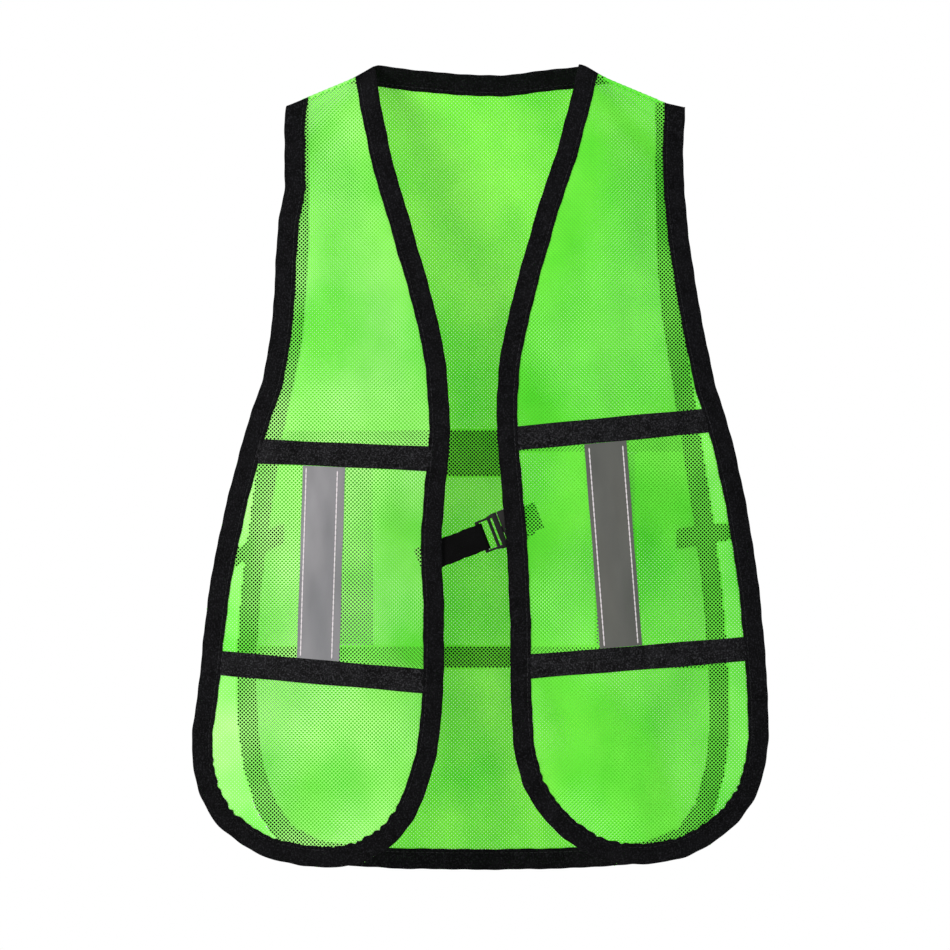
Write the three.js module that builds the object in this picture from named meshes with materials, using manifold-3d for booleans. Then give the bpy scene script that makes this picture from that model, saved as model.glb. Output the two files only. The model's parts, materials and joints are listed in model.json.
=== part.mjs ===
// High visibility vest, child size, open at the sides, in its worn shape.
// Millimetres, +Z up, the front faces -Y, +X is the wearer's left.
// The origin is where the vest rests on the shoulders: z = 0 is the neck end of the shoulder
// line, x = 0 the middle of the neck and y = 0 the plane where the front meets the back.
//
// Every cloth piece is drawn flat in x and z with its thickness t along y, and is then draped:
// a point (x, t, z) goes to (x, side * depth(x, z) + t, z). All pieces share that one map, so
// pieces that are clear of each other when flat are clear of each other when worn.
import * as THREE from 'three';
import { mergeVertices } from 'three/addons/utils/BufferGeometryUtils.js';
import Module from 'manifold-3d';

const wasm = await Module();
wasm.setup();

// Overall sizes. The cutting pattern below is drawn for the pattern sizes and graded to these.
const vestWidth = 348;
const vestHeight = 488;
const patternWidth = 348;
const patternHeight = 488;

// Cloth, tapes and webbing
const gap = 0.3;              // kept between any two pieces
const meshThickness = 0.5;    // knitted mesh
const tapeThickness = 0.4;    // binding, cross tape and reflective tape
const bindingWidth = 12.5;    // 25 mm tape folded in half over the edge
const bindingFold = 0.7;      // tape outside the cloth's edge, at the fold
const crossTapeWidth = 14.6;
const reflectiveWidth = 25.4;
const patchWidth = 48;
const patchHeight = 15;
const patchShift = -3;         // its middle, to the wearer's right of the vest's
const elasticWidth = 12;
const elasticThickness = 1;
const webbingWidth = 16.5;
const webbingThickness = 1;

// Worn shape: how far the front and the back stand from the middle plane
const chestDepth = 45;
const shoulderGap = 1.3;      // along the shoulder line
const shoulderPattern = [[62, 0], [76, -8.5], [118, -26]];                       // |x|, z
const fallFromShoulder = [[0, shoulderGap], [10, 12], [40, 26], [110, 38], [200, chestDepth]];
const sidePattern = [[62, chestDepth], [118, chestDepth - 14], [175, 3]];        // |x|, depth

// Elastic side straps, |x| of their ends and of the places where they leave the cloth
const strapFrontEnd = 158;
const strapLeavesFront = 151;
const strapMeetsBack = 141;
const strapBackEnd = 119;
const strapBend = 2.5;        // cut off each side of the strap's two corners

// Side release buckle: u along the strap, v across it, t through it
const buckleAngle = THREE.MathUtils.degToRad(21.3);   // the strap rises to the wearer's left
const buckleHeight = -285;
const clipShows = 14.2;       // from the left front's edge to the clip's outer bar
const buckleInset = 4.6;      // middle of the buckle behind the front's cloth
const barRadius = 1.2;        // the bars that webbing loops round
const loopClearance = 0.4;
const clipSlot = 5.2;         // clear width of the slot beside the clip's outer bar
const clipInnerBar = 2;
const clipInnerSlot = 1.2;
const clipShoulder = 3.4;     // wide part that meets the socket's mouth
const clipRail = 1.3;         // beside the slots, on the clip and on the socket
const clipThickness = 2.4;
const clipFlare = 4;          // length over which the clip widens to its shoulder
const tongueWidth = 4;
const tongueThickness = 2;
const prongThickness = 2.8;
const prongWidth = 2;
const prongLength = 11;
const prongClearance = 0.7;   // between a prong and the cavity's side wall
const barbReach = 1.2;        // barb past the cavity's wall, into the window
const barbFrom = 5;           // along the prong
const barbTo = 9.2;
const socketWidth = 22;
const socketThickness = 6.4;
const socketWall = 1.4;
const cavityEnd = 0.6;        // beyond the prongs' tips
const strapSlot = 1.9;        // beside the socket's bar

// Webbing ends
const strapClearance = 1.6;   // from the right front's edge to the strap's cut end
const tailShows = 0.9;        // the sewn tail past the right front's edge
const tailLength = 14;
const strapLift = 3.6;        // the strap's middle behind the cloth at its cut end
const loopTaper = 6;          // from a bar to where the two legs of a loop are sewn together
const padFrom = 4.6;          // the short strap's sewn end, from the socket's bar
const padTo = 7.4;

const palette = {
  mesh: 0x86ee46, binding: 0x242427, reflective: 0x8c8c8e, elastic: 0x1f1f22,
  webbing: 0x1b1b1e, plastic: 0x17171a,
};
const finish = {
  mesh: { roughness: 0.85, metalness: 0 },
  binding: { roughness: 0.9, metalness: 0 },
  reflective: { roughness: 0.35, metalness: 0.2 },
  elastic: { roughness: 0.9, metalness: 0 },
  webbing: { roughness: 0.9, metalness: 0 },
  plastic: { roughness: 0.4, metalness: 0 },
};

// ------------------------------------------------------------------ lines in the flat pattern

const grade = ([x, z]) => [x * vestWidth / patternWidth, z * vestHeight / patternHeight];
const gradeAcross = ([x, y]) => [x * vestWidth / patternWidth, y];

// Smooth line through pattern points, as evenly spaced points
function smoothLine(points, steps) {
  const curve = new THREE.SplineCurve(points.map((point) => new THREE.Vector2(...grade(point))));
  return curve.getSpacedPoints(steps).map((point) => point.toArray());
}

// The line moved to the right of its direction
function offsetLine(line, distance) {
  return line.map(([x, z], i) => {
    const before = line[Math.max(i - 1, 0)];
    const after = line[Math.min(i + 1, line.length - 1)];
    const run = [after[0] - before[0], after[1] - before[1]];
    const length = Math.hypot(...run);
    return [x + run[1] / length * distance, z - run[0] / length * distance];
  });
}

// The line made longer at both ends, or shorter when the distance is negative
function extendLine(line, distance) {
  const moved = ([x, z], [nextX, nextZ]) => {
    const share = distance / Math.hypot(x - nextX, z - nextZ);
    return [x + (x - nextX) * share, z + (z - nextZ) * share];
  };
  const last = line.length - 1;
  return [moved(line[0], line[1]), ...line.slice(1, last), moved(line[last], line[last - 1])];
}

// The line with each corner replaced by two points, that far before and after it
function easeCorners(line, distance) {
  const toward = ([x, z], [otherX, otherZ]) => {
    const share = distance / Math.hypot(otherX - x, otherZ - z);
    return [x + (otherX - x) * share, z + (otherZ - z) * share];
  };
  const last = line.length - 1;
  return line.flatMap((point, i) => (
    i === 0 || i === last ? [point] : [toward(point, line[i - 1]), toward(point, line[i + 1])]
  ));
}

// Closed outline between two offsets of a line
function ribbon(line, near, far) {
  return [...offsetLine(line, near), ...offsetLine(line, far).reverse()];
}

// Where a line crosses a height
function crossingAt(line, height) {
  const i = line.findIndex((point, k) => k > 0 && (point[1] - height) * (line[k - 1][1] - height) <= 0);
  const [x0, z0] = line[i - 1];
  const [x1, z1] = line[i];
  return x0 + (x1 - x0) * (height - z0) / (z1 - z0);
}

// Value of a list of [distance, value] pairs, straight between them and level past its ends
function along(list, at) {
  if (at <= list[0][0]) return list[0][1];
  for (let i = 1; i < list.length; i += 1) {
    const [x0, y0] = list[i - 1];
    const [x1, y1] = list[i];
    if (at <= x1) return y0 + (y1 - y0) * (at - x0) / (x1 - x0);
  }
  return list[list.length - 1][1];
}

// ------------------------------------------------------------------ the worn shape

const shoulderLine = shoulderPattern.map(grade);
const sideDepth = sidePattern.map(gradeAcross);

const drop = (x, z) => along(shoulderLine, Math.abs(x)) - z;
const openDepth = (x, z) => (
  along(fallFromShoulder, drop(x, z)) + along(sideDepth, Math.abs(x)) - chestDepth
);
const depth = (x, z) => Math.max(shoulderGap, openDepth(x, z));

// ------------------------------------------------------------------ solids

function toSolid(geometry) {
  geometry.deleteAttribute('normal');
  geometry.deleteAttribute('uv');
  const merged = mergeVertices(geometry, 1e-4);
  return new wasm.Manifold(new wasm.Mesh({
    numProp: 3,
    vertProperties: merged.attributes.position.array,
    triVerts: Uint32Array.from(merged.index.array),
  }));
}

function toGeometry(solid) {
  const mesh = solid.getMesh();
  const geometry = new THREE.BufferGeometry();
  geometry.setAttribute('position', new THREE.BufferAttribute(mesh.vertProperties, 3));
  geometry.setIndex(new THREE.BufferAttribute(mesh.triVerts, 1));
  return geometry;
}

// Outlines may be listed either way round
function toShape(outline) {
  const points = outline.map((point) => new THREE.Vector2(...point));
  return new THREE.Shape(THREE.ShapeUtils.isClockWise(points) ? points.reverse() : points);
}

// A plate: an outline in x and z, thick from low to high along y
function plate(outline, low, high) {
  const settings = { depth: high - low, bevelEnabled: false };
  const geometry = new THREE.ExtrudeGeometry(toShape(outline), settings);
  geometry.translate(0, 0, -high);
  geometry.rotateX(Math.PI / 2);
  return toSolid(geometry);
}

// A section: an outline in x and y with holes, wide along z and centred there
function section(outline, width, holes = []) {
  const shape = toShape(outline);
  shape.holes = holes.map(toShape);
  const geometry = new THREE.ExtrudeGeometry(shape, { depth: width, bevelEnabled: false });
  geometry.translate(0, 0, -width / 2);
  return toSolid(geometry);
}

// A round bar along z
function bar(at, length) {
  const geometry = new THREE.CylinderGeometry(barRadius, barRadius, length, 12);
  geometry.rotateX(Math.PI / 2);
  geometry.translate(at, 0, 0);
  return toSolid(geometry);
}

const box = (x0, x1, half) => [[x0, -half], [x1, -half], [x1, half], [x0, half]];

// Everything below the shoulder line, which trims the tops of the front and the back
function belowShoulder() {
  const tip = shoulderLine[shoulderLine.length - 1][1];
  const low = -2 * vestHeight;
  const mirrored = shoulderLine.map(([x, z]) => [-x, z]).reverse();
  return plate([
    [-vestWidth, low], [-vestWidth, tip], ...mirrored,
    ...shoulderLine, [vestWidth, tip], [vestWidth, low],
  ], -vestWidth, vestWidth);
}

// Splits each triangle that crosses measure(x, z) = level, so that the piece can bend there
function creaseAt(triangles, measure, level) {
  const result = [];
  for (const triangle of triangles) {
    const heights = triangle.map(([x, , z]) => {
      const height = measure(x, z) - level;
      return Math.abs(height) < 1e-5 ? 0 : height;
    });
    if (!heights.some((height) => height > 0) || !heights.some((height) => height < 0)) {
      result.push(triangle);
      continue;
    }
    const above = [];
    const below = [];
    for (let i = 0; i < 3; i += 1) {
      const j = (i + 1) % 3;
      if (heights[i] >= 0) above.push(triangle[i]);
      if (heights[i] <= 0) below.push(triangle[i]);
      if (heights[i] * heights[j] < 0) {
        const share = heights[i] / (heights[i] - heights[j]);
        const cut = triangle[i].map((value, k) => value + (triangle[j][k] - value) * share);
        above.push(cut);
        below.push(cut);
      }
    }
    for (const part of [above, below]) {
      for (let i = 2; i < part.length; i += 1) result.push([part[0], part[i - 1], part[i]]);
    }
  }
  return result;
}

// Bends a flat solid to the worn shape, on the front (side -1) or on the back (side 1)
function drape(solid, side) {
  const { vertProperties, triVerts } = solid.getMesh();
  const corner = (i) => Array.from(vertProperties.subarray(3 * i, 3 * i + 3));
  let triangles = [];
  for (let i = 0; i < triVerts.length; i += 3) {
    triangles.push([corner(triVerts[i]), corner(triVerts[i + 1]), corner(triVerts[i + 2])]);
  }
  for (const [x] of [...shoulderLine, ...sideDepth]) {
    triangles = creaseAt(triangles, (px) => px, x);
    triangles = creaseAt(triangles, (px) => px, -x);
  }
  for (const [level] of fallFromShoulder) triangles = creaseAt(triangles, drop, level);
  triangles = creaseAt(triangles, openDepth, shoulderGap);
  const positions = triangles.flat().flatMap(([x, t, z]) => [x, side * depth(x, z) + t, z]);
  const geometry = new THREE.BufferGeometry();
  geometry.setAttribute('position', new THREE.Float32BufferAttribute(positions, 3));
  return mergeVertices(geometry, 1e-4);
}

const vest = new THREE.Group();

function addMesh(name, kind, geometry, parent = vest) {
  geometry.computeVertexNormals();
  const material = new THREE.MeshStandardMaterial({ color: palette[kind], ...finish[kind] });
  const mesh = new THREE.Mesh(geometry, material);
  mesh.name = name;
  parent.add(mesh);
}

// ------------------------------------------------------------------ panels, bindings and tapes

const front = -1;
const back = 1;
const meshHalf = meshThickness / 2;
const tapeNear = meshHalf + gap;
const tapeFar = tapeNear + tapeThickness;
const trimmer = belowShoulder();

// Finished edges, clockwise as seen from the front, so that the cloth lies to their right.
// The two fronts are cut alike and lie a little differently.
const frontSteps = 54;
const backSteps = 46;
const neckSteps = 10;
const rightFrontEdge = smoothLine([
  [-65, 6], [-54, -53], [-42, -95], [-30, -137], [-22, -170], [-18.5, -203], [-18, -227],
  [-23, -285], [-21.6, -323], [-22, -377], [-27, -420], [-43, -460], [-70, -480], [-98, -483],
  [-130, -477], [-160, -457], [-172, -430], [-173.6, -405], [-169, -371], [-164, -323],
  [-155, -275], [-141, -221], [-130, -188], [-124.5, -150], [-121.5, -95], [-117, -73],
  [-118.5, -45], [-116, -18],
], frontSteps);
const leftFrontEdge = smoothLine([
  [124, -20], [122.5, -65], [126, -107], [131.5, -143], [141, -191], [152, -227],
  [162, -275], [169, -323], [173, -372], [174, -405], [171, -428], [160, -452], [132, -474],
  [98, -481.5], [68, -477], [42, -458], [24, -430], [18.6, -390], [18, -340], [15.5, -285],
  [10.4, -227], [10.4, -191], [15, -161], [24, -125], [36, -83], [48, -47], [61, 6],
], frontSteps);
const backEdge = smoothLine([
  [118.4, -18], [119, -85], [121.5, -140], [134.4, -225], [146.4, -310], [151, -374],
  [150.5, -415], [142, -452], [124, -475], [84, -485], [-6, -487.6], [-84, -484.6],
  [-118, -474], [-138, -445], [-147, -400], [-147, -343], [-142, -290], [-131, -215],
  [-121, -170], [-116.5, -110], [-116, -60], [-116, -18],
], backSteps);
const backNeckEdge = smoothLine([
  [-80, 2], [-68, 0.2], [-50, -2.2], [6, -6.6], [48, -2.4], [63, -1.2], [76, 1],
], neckSteps);

// A run of binding between two points of an edge: a flat tape less the slot that the cloth and
// its clearance take. It stops half a gap short of the next run.
function bindingRun(edge, from, to) {
  const side = (inset, reach) => extendLine(offsetLine(edge, inset).slice(from, to + 1), reach);
  const outline = (near, far, reach) => [...side(near, reach), ...side(far, reach).reverse()];
  const tape = plate(outline(0, bindingWidth, -gap / 2), -tapeFar, tapeFar);
  const slot = plate(outline(bindingFold, 1.5 * bindingWidth, bindingFold), -tapeNear, tapeNear);
  return tape.subtract(slot).intersect(trimmer);
}

// A straight tape on the outside of a panel, between two points of its middle line
function tapeRun([start, end], width, bare, side) {
  const levels = side === front ? [-tapeFar, -tapeNear] : [tapeNear, tapeFar];
  return plate(ribbon([grade(start), grade(end)], -width / 2, width / 2), ...levels).intersect(bare);
}

// The space between two cross tapes, clear of both
function tapeSpace(upper, lower) {
  const inset = crossTapeWidth / 2 + gap;
  const top = offsetLine(upper.map(grade), inset);
  const low = offsetLine(lower.map(grade), -inset);
  return plate([...top, ...low.reverse()], -tapeFar, tapeFar);
}

// One binding for each name, from step to step along an edge
const bindings = (edge, steps, names) => names.map((name, i) => [name, edge, steps[i], steps[i + 1]]);

function addPanel(panel) {
  const { name, side, edges, runs, upper, lower, strips } = panel;
  const outline = (inset) => edges.flatMap((edge) => offsetLine(edge, inset));
  const cloth = plate(outline(bindingFold + gap), -meshHalf, meshHalf).intersect(trimmer);
  addMesh(`${name}_mesh`, 'mesh', drape(cloth, side));
  for (const [part, edge, from, to] of runs) {
    addMesh(`${part}_binding`, 'binding', drape(bindingRun(edge, from, to), side));
  }
  // Tapes stop where the bindings start, and strips where the tapes do
  const bare = plate(outline(bindingWidth + gap), -tapeFar, tapeFar);
  for (const [level, line] of Object.entries({ upper, lower })) {
    addMesh(`${name}_${level}_tape`, 'binding', drape(tapeRun(line, crossTapeWidth, bare, side), side));
  }
  const room = tapeSpace(upper, lower);
  for (const [stripName, line] of strips) {
    const strip = tapeRun(line, reflectiveWidth, bare, side).intersect(room);
    addMesh(stripName, 'reflective', drape(strip, side));
  }
  return bare;
}

addPanel({
  name: 'right_front',
  side: front,
  edges: [rightFrontEdge],
  runs: bindings(
    rightFrontEdge,
    [0, 21, 32, frontSteps],
    ['right_front_edge', 'right_front_hem', 'right_front_side'],
  ),
  upper: [[-150, -232.8], [-20, -238.6]],
  lower: [[-180, -358.9], [-20, -372.3]],
  strips: [['right_front_reflective_strip', [[-93, -225], [-97.6, -375]]]],
});
addPanel({
  name: 'left_front',
  side: front,
  edges: [leftFrontEdge],
  runs: bindings(
    leftFrontEdge,
    [0, 22, 33, frontSteps],
    ['left_front_side', 'left_front_hem', 'left_front_edge'],
  ),
  upper: [[8, -227.2], [150, -213.8]],
  lower: [[8, -364], [180, -350.9]],
  strips: [['left_front_reflective_strip', [[74, -215], [86, -370]]]],
});

const rearUpperTape = [[-140, -227], [140, -227]];
const bareBack = addPanel({
  name: 'back',
  side: back,
  edges: [backEdge, backNeckEdge],
  runs: [
    ...bindings(
      backEdge,
      [0, 17, 29, backSteps],
      ['left_back_side', 'back_hem', 'right_back_side'],
    ),
    ...bindings(backNeckEdge, [0, neckSteps], ['back_neck']),
  ],
  upper: rearUpperTape,
  lower: [[-155, -358.2], [155, -358.2]],
  strips: [
    ['left_back_reflective_strip', [[82.5, -225], [82.5, -360]]],
    ['right_back_reflective_strip', [[-77.5, -225], [-77.5, -360]]],
  ],
});

// Short patch sewn just under the rear upper tape
const patchMiddle = rearUpperTape[0][1] * vestHeight / patternHeight
  - (crossTapeWidth + patchHeight) / 2 - gap;
const patch = plate(
  box(-patchWidth / 2, patchWidth / 2, patchHeight / 2).map(([x, z]) => [x + patchShift, z + patchMiddle]),
  tapeNear,
  tapeFar,
).intersect(bareBack);
addMesh('back_centre_patch', 'binding', drape(patch, back));

// ------------------------------------------------------------------ elastic side straps

// Each strap is sewn flat on the inner face of the front, crosses the side gap and is sewn flat
// on the inner face of the back. It slopes along its length.
function addSideStrap(name, sign, frontHeight, backHeight) {
  const inset = tapeFar + 2 * gap + elasticThickness / 2;
  const at = (x, height, side) => {
    const [across, z] = grade([sign * x, height]);
    return [across, side * (depth(across, z) - inset)];
  };
  const line = [
    at(strapFrontEnd, frontHeight, front), at(strapLeavesFront, frontHeight, front),
    at(strapMeetsBack, backHeight, back), at(strapBackEnd, backHeight, back),
  ];
  const bent = easeCorners(line, strapBend);
  const outline = ribbon(bent, -elasticThickness / 2, elasticThickness / 2);
  const geometry = toGeometry(section(outline, elasticWidth));
  const [start, startHeight] = grade([sign * strapFrontEnd, frontHeight]);
  const [end, endHeight] = grade([sign * strapBackEnd, backHeight]);
  const slope = (endHeight - startHeight) / (end - start);
  const position = geometry.attributes.position;
  for (let i = 0; i < position.count; i += 1) {
    const rise = startHeight + slope * (position.getX(i) - start);
    position.setZ(i, position.getZ(i) + rise);
  }
  addMesh(name, 'elastic', geometry);
}

addSideStrap('right_side_strap', -1, -303, -283);
addSideStrap('left_side_strap', 1, -280.5, -286.5);

// ------------------------------------------------------------------ buckle and webbing

const [, closureHeight] = grade([0, buckleHeight]);
const rightEdgeAt = crossingAt(rightFrontEdge, closureHeight);
const leftEdgeAt = crossingAt(leftFrontEdge.slice().reverse(), closureHeight);
const clipAt = leftEdgeAt - clipShows;

// Places along the strap, from the clip's outer bar
const slotHalf = webbingWidth / 2 + gap;
const railHalf = slotHalf + clipRail;
const slotEnd = barRadius + clipSlot;
const innerSlotEnd = slotEnd + clipInnerBar + clipInnerSlot;
const shoulderEnd = innerSlotEnd + clipShoulder;
const mouth = shoulderEnd + gap;
const prongTip = mouth + prongLength;
const cavityDepth = prongTip + cavityEnd;
const cavityHalf = socketWidth / 2 - socketWall;
const strapSlotFrom = cavityDepth + socketWall;
const socketBar = strapSlotFrom + strapSlot + barRadius;

const closure = new THREE.Group();
closure.position.set(clipAt, buckleInset - depth(clipAt, closureHeight), closureHeight);
closure.rotation.y = -buckleAngle;
vest.add(closure);

// u of a cut along a vertical line of the vest, at v across the strap
const cutAt = (x, v) => (x - clipAt) / Math.cos(buckleAngle) + v * Math.tan(buckleAngle);

function clipBody() {
  const half = socketWidth / 2;
  const body = plate([
    [0, -railHalf], [shoulderEnd - clipShoulder - clipFlare, -railHalf],
    [shoulderEnd - clipShoulder, -half], [shoulderEnd, -half],
    [shoulderEnd, half], [shoulderEnd - clipShoulder, half],
    [shoulderEnd - clipShoulder - clipFlare, railHalf], [0, railHalf],
  ], -clipThickness / 2, clipThickness / 2);
  const shoulder = plate(
    box(innerSlotEnd, shoulderEnd, half), -socketThickness / 2, socketThickness / 2,
  );
  const tongue = plate(
    box(innerSlotEnd, prongTip, tongueWidth / 2), -tongueThickness / 2, tongueThickness / 2,
  );
  const slots = [[-2 * barRadius, slotEnd], [slotEnd + clipInnerBar, innerSlotEnd]];
  const cut = slots.reduce((solid, [from, to]) => (
    solid.subtract(plate(box(from, to, slotHalf), -clipThickness, clipThickness))
  ), body);
  return cut.add(shoulder).add(tongue).add(bar(0, 2 * railHalf));
}

// A prong lies along one side of the socket's cavity, with its barb in the window
function prong(sign) {
  const outer = cavityHalf - prongClearance;
  const inner = outer - prongWidth;
  const barb = cavityHalf + barbReach;
  const outline = [
    [mouth, inner], [prongTip, inner], [prongTip, outer - prongWidth / 2],
    [mouth + barbTo, barb], [mouth + barbFrom, barb], [mouth + barbFrom, outer], [mouth, outer],
  ].map(([u, v]) => [u, sign * v]);
  return plate(outline, -prongThickness / 2, prongThickness / 2);
}

function socketBody() {
  const half = socketWidth / 2;
  const outline = [
    [mouth, -half], [cavityDepth, -half], [strapSlotFrom, -railHalf], [socketBar, -railHalf],
    [socketBar, railHalf], [strapSlotFrom, railHalf], [cavityDepth, half], [mouth, half],
  ];
  const inside = socketThickness / 2 - socketWall;
  const cavity = plate(box(mouth - gap, cavityDepth, cavityHalf), -inside, inside);
  const windows = plate(
    box(mouth + barbFrom - gap, mouth + prongLength - gap, socketWidth), -inside, inside,
  );
  const strapHole = plate(box(strapSlotFrom, 2 * socketBar, slotHalf), -socketThickness, socketThickness);
  return plate(outline, -socketThickness / 2, socketThickness / 2)
    .subtract(cavity).subtract(windows).subtract(strapHole)
    .add(bar(socketBar, 2 * railHalf));
}

// Webbing folded round a bar at u = at, and sewn to itself from u = levelTo to u = end on the
// side that heading points to, with the middle of its two layers at t = endMiddle there
function webbingLoop(at, heading, levelTo, end, endMiddle) {
  const hole = barRadius + loopClearance;
  const outer = hole + webbingThickness;
  const past = 0.9 * hole;       // the webbing stays level this far past the bar
  const place = ([u, t]) => [at + heading * u, t];
  const round = (radius) => {
    const slant = radius * Math.SQRT1_2;
    return [
      [past, radius], [0, radius], [-slant, slant], [-radius, 0], [-slant, -slant], [0, -radius],
    ];
  };
  const outline = [
    [end, endMiddle + webbingThickness], [levelTo, endMiddle + webbingThickness],
    ...round(outer),
    [levelTo, endMiddle - webbingThickness], [end, endMiddle - webbingThickness],
  ];
  const eye = [...round(hole), [past, -hole], [(hole + levelTo) / 2, endMiddle / 2]];
  return section(outline.map(place), webbingWidth, [eye.map(place)]);
}

const strapCut = (v) => [cutAt(rightEdgeAt + strapClearance, v), v];
const strapRoom = plate([
  strapCut(-webbingWidth), [webbingWidth, -webbingWidth],
  [webbingWidth, webbingWidth], strapCut(webbingWidth),
], -socketThickness, socketThickness);
const strapLength = webbingWidth - cutAt(rightEdgeAt, 0);
const strap = webbingLoop(0, -1, loopTaper, strapLength, strapLift - buckleInset)
  .intersect(strapRoom);

// The strap's own sewn tail stays on the right front, behind its binding
const tailNear = tapeFar + gap - buckleInset;
const tailBlank = plate([
  [cutAt(rightEdgeAt - tailLength, 0), -webbingWidth / 2],
  [cutAt(rightEdgeAt + tailShows, -webbingWidth / 2), -webbingWidth / 2],
  [cutAt(rightEdgeAt + tailShows, webbingWidth / 2), webbingWidth / 2],
  [cutAt(rightEdgeAt - tailLength, 0), webbingWidth / 2],
], tailNear, tailNear + webbingThickness);

const padMiddle = tailNear + webbingThickness;
addMesh('closure_strap', 'webbing', toGeometry(strap), closure);
addMesh('closure_strap_tail', 'webbing', toGeometry(tailBlank), closure);
addMesh('buckle_clip', 'plastic', toGeometry(clipBody()), closure);
addMesh('clip_upper_prong', 'plastic', toGeometry(prong(1)), closure);
addMesh('clip_lower_prong', 'plastic', toGeometry(prong(-1)), closure);
addMesh('buckle_socket', 'plastic', toGeometry(socketBody()), closure);
addMesh(
  'socket_strap',
  'webbing',
  toGeometry(webbingLoop(socketBar, 1, padFrom, padTo, padMiddle)),
  closure,
);

export default vest;
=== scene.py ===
import json
import math

import bmesh
import bpy
import numpy as np
from mathutils import Matrix, Vector


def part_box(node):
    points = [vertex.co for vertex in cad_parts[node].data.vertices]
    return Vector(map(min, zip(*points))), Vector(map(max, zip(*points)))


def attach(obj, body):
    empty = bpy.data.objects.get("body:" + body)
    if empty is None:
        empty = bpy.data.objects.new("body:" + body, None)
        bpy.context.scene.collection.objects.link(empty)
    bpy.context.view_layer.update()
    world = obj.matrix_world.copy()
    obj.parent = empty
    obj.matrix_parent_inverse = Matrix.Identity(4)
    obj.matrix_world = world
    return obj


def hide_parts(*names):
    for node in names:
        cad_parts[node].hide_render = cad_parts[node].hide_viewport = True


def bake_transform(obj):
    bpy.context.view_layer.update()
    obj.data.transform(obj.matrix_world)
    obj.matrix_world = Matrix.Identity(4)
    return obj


# High visibility vest: nets, bindings, tapes, webbing and buckle built on the CAD frame.
# Metres, +Z up, the front faces -Y, +X is the wearer's left.
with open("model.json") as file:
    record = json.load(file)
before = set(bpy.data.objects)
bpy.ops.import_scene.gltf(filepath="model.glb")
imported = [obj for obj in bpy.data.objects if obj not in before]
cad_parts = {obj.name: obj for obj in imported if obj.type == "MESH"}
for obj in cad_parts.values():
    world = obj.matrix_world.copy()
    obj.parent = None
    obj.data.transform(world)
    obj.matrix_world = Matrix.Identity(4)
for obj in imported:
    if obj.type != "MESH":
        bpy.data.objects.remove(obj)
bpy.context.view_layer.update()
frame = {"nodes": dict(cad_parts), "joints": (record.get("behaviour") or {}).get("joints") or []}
mm = 0.001
front, back = -1, 1
scene = bpy.context.scene


# camera, light and floor

camera = {"distance": 6.0, "sensor": 36, "seenWidth": 0.570, "aim": (-0.003, -0.030, -0.2478)}
light = {
    "ambient": 0.74,
    "key": {"at": (-0.9, -1.25, 0.05), "size": 0.7, "power": 12.5, "colour": "fffaf4"},
    "fill": {"at": (1.9, -1.7, -0.1), "size": 1.6, "power": 7, "colour": "f4f8ff"},
}
floor = {"radius": 0.6, "height": -0.60, "colour": "eeedea"}


def linear(code):
    shares = [int(code[i:i + 2], 16) / 255 for i in (0, 2, 4)]
    return (*[c / 12.92 if c <= 0.04045 else ((c + 0.055) / 1.055) ** 2.4 for c in shares], 1)


def addNode(tree, kind, settings=None, links=None):
    node = tree.nodes.new(kind)
    for name, value in (settings or {}).items():
        if isinstance(name, str) and hasattr(node, name):
            setattr(node, name, value)
        else:
            node.inputs[name].default_value = value
    for name, source in (links or {}).items():
        tree.links.new(source, node.inputs[name])
    return node


def addCamera(s):
    data = bpy.data.cameras.new("camera")
    data.sensor_width = s["sensor"]
    data.lens = s["sensor"] * s["distance"] / s["seenWidth"]
    data.clip_end = 30
    made = bpy.data.objects.new("camera", data)
    made.location = Vector(s["aim"]) - Vector((0, s["distance"], 0))
    made.rotation_euler = (math.pi / 2, 0, 0)
    scene.collection.objects.link(made)
    scene.camera = made


def addAreaLight(name, s):
    data = bpy.data.lights.new(name, "AREA")
    data.shape, data.size, data.energy = "DISK", s["size"], s["power"]
    data.color = linear(s["colour"])[:3]
    made = bpy.data.objects.new(name, data)
    made.location = s["at"]
    made.rotation_mode = "QUATERNION"
    toVest = Vector(camera["aim"]) - made.location
    made.rotation_quaternion = toVest.to_track_quat("-Z", "Y")
    scene.collection.objects.link(made)


def addWorld(ambient):
    world = bpy.data.worlds.new("studio")
    world.use_nodes = True
    tree = world.node_tree
    tree.nodes.clear()
    path = addNode(tree, "ShaderNodeLightPath")
    strength = addNode(tree, "ShaderNodeMapRange", {"To Min": ambient, "To Max": 1.0},
                       {"Value": path.outputs["Is Camera Ray"]})
    sky = addNode(tree, "ShaderNodeBackground", {"Color": (1, 1, 1, 1)},
                  {"Strength": strength.outputs["Result"]})
    addNode(tree, "ShaderNodeOutputWorld", links={"Surface": sky.outputs["Background"]})
    scene.world = world


def addFloor(s):
    bm = bmesh.new()
    bmesh.ops.create_circle(bm, cap_ends=True, segments=96, radius=s["radius"],
                            matrix=Matrix.Translation((0, 0, s["height"])))
    mesh = bpy.data.meshes.new("floor")
    bm.to_mesh(mesh)
    bm.free()
    material = bpy.data.materials.new("paintedFloorEvenCoat")
    material.use_nodes = True
    shader = material.node_tree.nodes["Principled BSDF"]
    shader.inputs["Base Color"].default_value = linear(s["colour"])
    shader.inputs["Roughness"].default_value = 0.9
    mesh.materials.append(material)
    made = bpy.data.objects.new("floor", mesh)
    scene.collection.objects.link(made)


scene.view_settings.view_transform = "Standard"
addCamera(camera)
addWorld(light["ambient"])
addAreaLight("keyLight", light["key"])
addAreaLight("fillLight", light["fill"])
addFloor(floor)
print("stage: camera, light and floor")


# materials

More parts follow.
